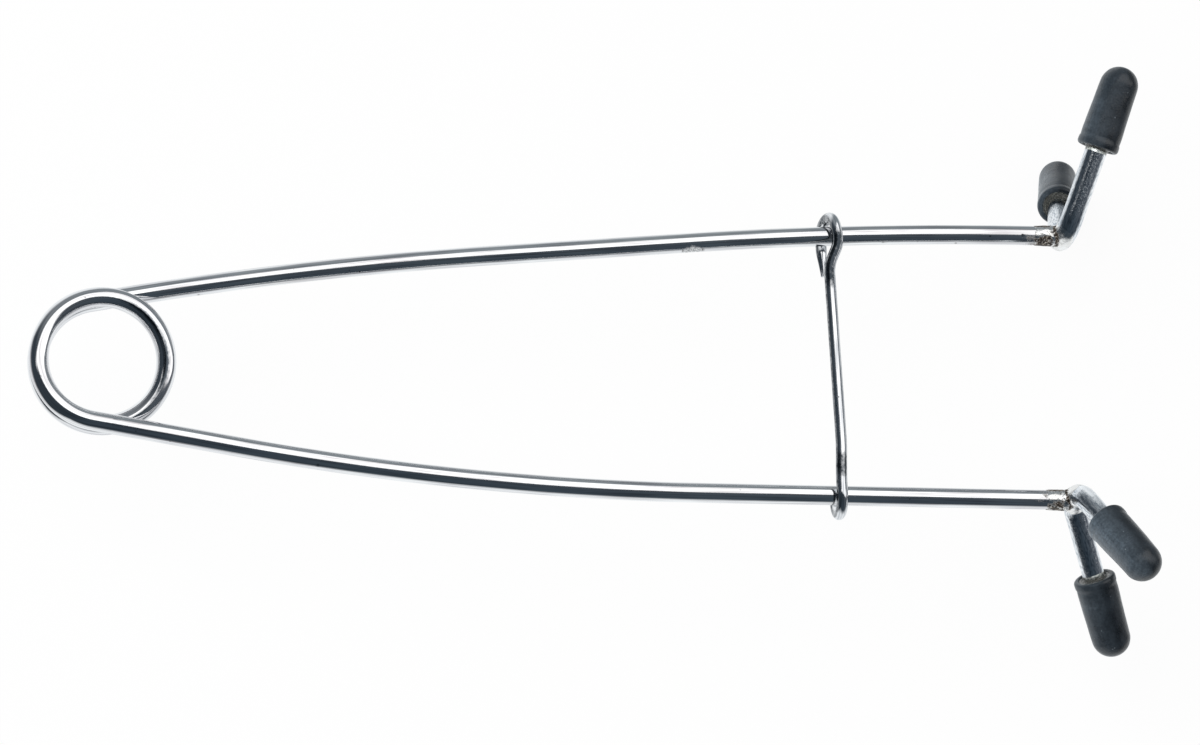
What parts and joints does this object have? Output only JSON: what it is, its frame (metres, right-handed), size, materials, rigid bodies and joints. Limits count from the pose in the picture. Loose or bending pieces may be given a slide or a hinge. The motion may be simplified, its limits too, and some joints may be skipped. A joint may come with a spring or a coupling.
{
  "type": "spring-wire spreading clamp",
  "caption": "Spring-wire clamp whose coil pushes two long arms apart, each ending in a forked foot with rubber tips, held by a hooked wire link.",
  "frame": {"origin": "on the coil's axis, half way up the coil", "axes": "+X from the coil along the arms to the feet, +Y across to the upper arm, +Z along the coil's axis, toward the side that the link's shank is on"},
  "size_m": [0.2006, 0.1057, 0.0526],
  "materials": {
    "spring_wire": "bright plated spring wire with fine drawing lines and a few nicks",
    "fork_rod": "bright plated rod",
    "braze": "brown, heat-marked braze",
    "tip_rubber": "matt black rubber",
    "cement": "clear set cement",
    "link_wire": "bright wire"
  },
  "bodies": {
    "lower_side": {"lower_arm": "spring_wire", "lower_braze": "braze", "lower_fork": "fork_rod", "lower_near_tip": "tip_rubber", "lower_far_tip": "tip_rubber", "lower_near_cement": "cement", "lower_far_cement": "cement"},
    "coil": {"spring_coil": "spring_wire"},
    "upper_side": {"upper_arm": "spring_wire", "upper_braze": "braze", "upper_fork": "fork_rod", "upper_near_tip": "tip_rubber", "upper_far_tip": "tip_rubber", "upper_near_cement": "cement", "upper_far_cement": "cement"},
    "link": {"retaining_link": "link_wire"}
  },
  "joints": [
    {"name": "link_slide", "type": "slide", "parent": "lower_side", "child": "link", "axis": [0.9995, -0.0314, 0], "range_m": [-0.04, 0.006]},
    {"name": "spread", "type": "hinge", "parent": "lower_side", "child": "coil", "pos_m": [0, 0, 0], "axis": [0, 0, 1], "range_deg": [-0.3, 1.85], "deforming": ["spring_coil"]},
    {"name": "squeeze", "type": "hinge", "parent": "coil", "child": "upper_side", "pos_m": [0, 0, 0], "axis": [0, 0, 1], "range_deg": [-13.5, 0], "stiffness_Nm_per_rad": 6.8, "deforming": ["spring_coil"]}
  ],
  "couplings": [
    {"joint": "spread", "follows": "link_slide", "rad_per_m": -0.7854}
  ]
}
